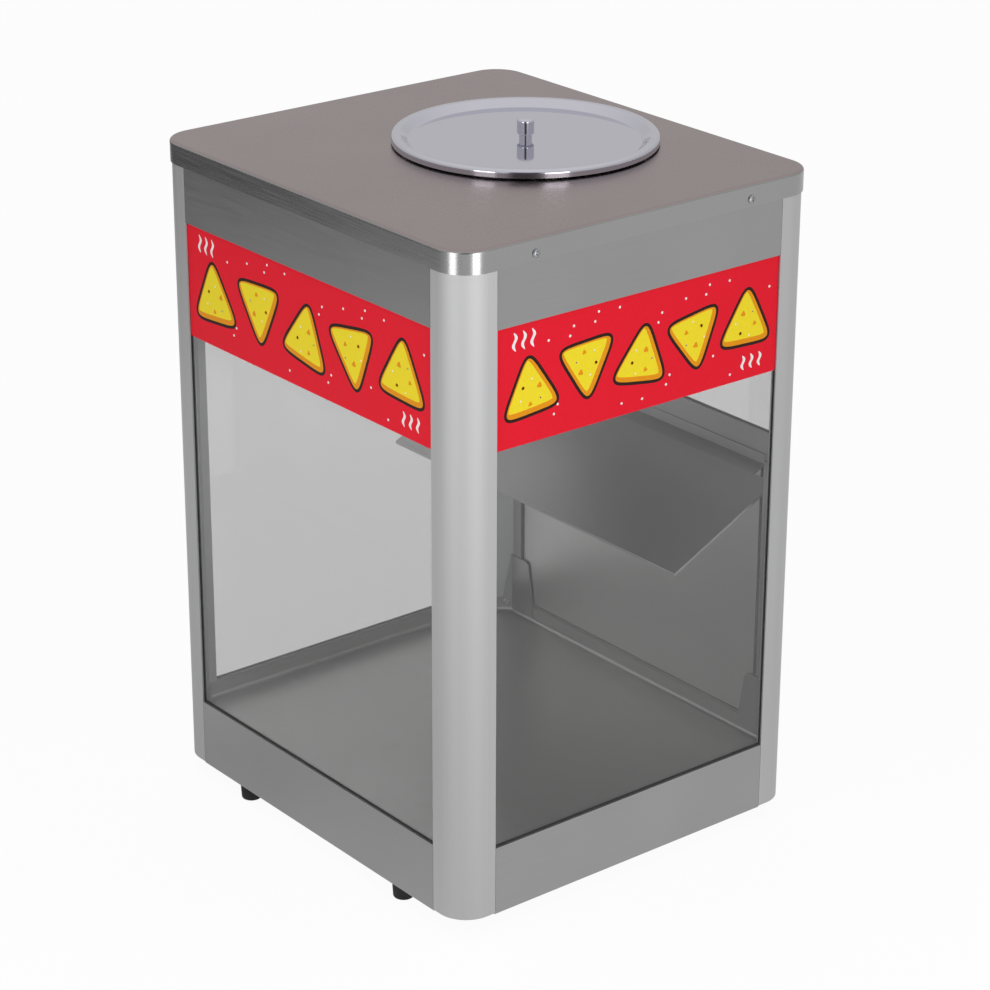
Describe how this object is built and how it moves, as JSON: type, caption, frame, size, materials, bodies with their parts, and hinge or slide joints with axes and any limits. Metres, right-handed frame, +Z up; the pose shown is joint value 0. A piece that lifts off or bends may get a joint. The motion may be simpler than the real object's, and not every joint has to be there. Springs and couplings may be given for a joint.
{
  "type": "chip warmer",
  "caption": "Heated glass display cabinet that keeps tortilla chips warm, filled through a lift-off roof lid and served through a hinged door below a sloping baffle.",
  "frame": {"origin": "middle of the overall footprint on the surface that the feet stand on", "axes": "+Z up; the front with the sign faces -Y; the service door and the controls are on +Y; +X is to the right seen from the front"},
  "size_m": [0.4564, 0.4244, 0.6727],
  "materials": {
    "satin_steel": "satin brushed",
    "anodised_aluminium": "satin anodised",
    "clear_glass": "clear float glass",
    "black_rubber": "moulded",
    "sign_film": "printed film",
    "polished_steel": "mirror polished",
    "plated_steel": "bright zinc",
    "black_plastic": "moulded",
    "rocker_plastic": "moulded",
    "lamp_lens": "moulded",
    "ferrite": "sintered",
    "element_sheath": "dull",
    "moulded_case": "moulded"
  },
  "bodies": {
    "cabinet": {"base_panel_front": "satin_steel", "base_panel_right": "satin_steel", "base_panel_left": "satin_steel", "base_panel_rear": "satin_steel", "header_front": "satin_steel", "header_rear": "satin_steel", "header_right": "satin_steel", "header_left": "satin_steel", "rear_mid_rail": "satin_steel", "bottom_plate": "satin_steel", "floor_pan": "satin_steel", "baffle": "satin_steel", "baffle_carrier": "satin_steel", "corner_bracket_right": "satin_steel", "corner_bracket_left": "satin_steel", "top_cover": "satin_steel", "fill_collar": "satin_steel", "heat_shield": "satin_steel", "post_rear_right": "anodised_aluminium", "post_rear_left": "anodised_aluminium", "post_front_right": "anodised_aluminium", "post_front_left": "anodised_aluminium", "glass_front": "clear_glass", "glass_right": "clear_glass", "glass_left": "clear_glass", "glass_rear": "clear_glass", "gasket_front": "black_rubber", "gasket_right": "black_rubber", "gasket_left": "black_rubber", "gasket_rear": "black_rubber", "foot_front_left": "black_rubber", "foot_front_right": "black_rubber", "foot_rear_left": "black_rubber", "foot_rear_right": "black_rubber", "sign_front": "sign_film", "sign_right": "sign_film", "panel_screws": "plated_steel", "foot_fasteners": "plated_steel", "hinge_frame_leaves": "plated_steel", "hinge_pins": "plated_steel", "element_clamps": "plated_steel", "switch_housing": "black_plastic", "power_inlet": "black_plastic", "pilot_lamp": "lamp_lens", "door_magnet": "ferrite", "heating_element": "element_sheath", "thermostat": "moulded_case", "terminal_block": "moulded_case"},
    "lid": {"lid_dish": "polished_steel", "lid_ring": "polished_steel", "lid_knob": "polished_steel", "lid_screw": "plated_steel"},
    "door": {"door_skin": "satin_steel", "door_liner": "satin_steel", "hinge_door_leaves": "plated_steel", "door_pull": "polished_steel"},
    "dial": {"thermostat_spindle": "plated_steel", "thermostat_dial": "black_plastic"},
    "rocker": {"switch_rocker": "rocker_plastic"}
  },
  "joints": [
    {"name": "lid_lift", "type": "slide", "parent": "cabinet", "child": "lid", "axis": [0, 0, 1], "range_m": [0, 0.06]},
    {"name": "door_swing", "type": "hinge", "parent": "cabinet", "child": "door", "pos_m": [-0.18375, 0.19825, 0.22], "axis": [0, 0, 1], "range_deg": [0, 120]},
    {"name": "dial_turn", "type": "hinge", "parent": "cabinet", "child": "dial", "pos_m": [-0.06, 0.19525, 0.045], "axis": [0, -1, 0], "range_deg": [0, 270]},
    {"name": "rocker_tilt", "type": "hinge", "parent": "cabinet", "child": "rocker", "pos_m": [0.05, 0.19125, 0.045], "axis": [1, 0, 0], "range_deg": [0, 14]}
  ]
}
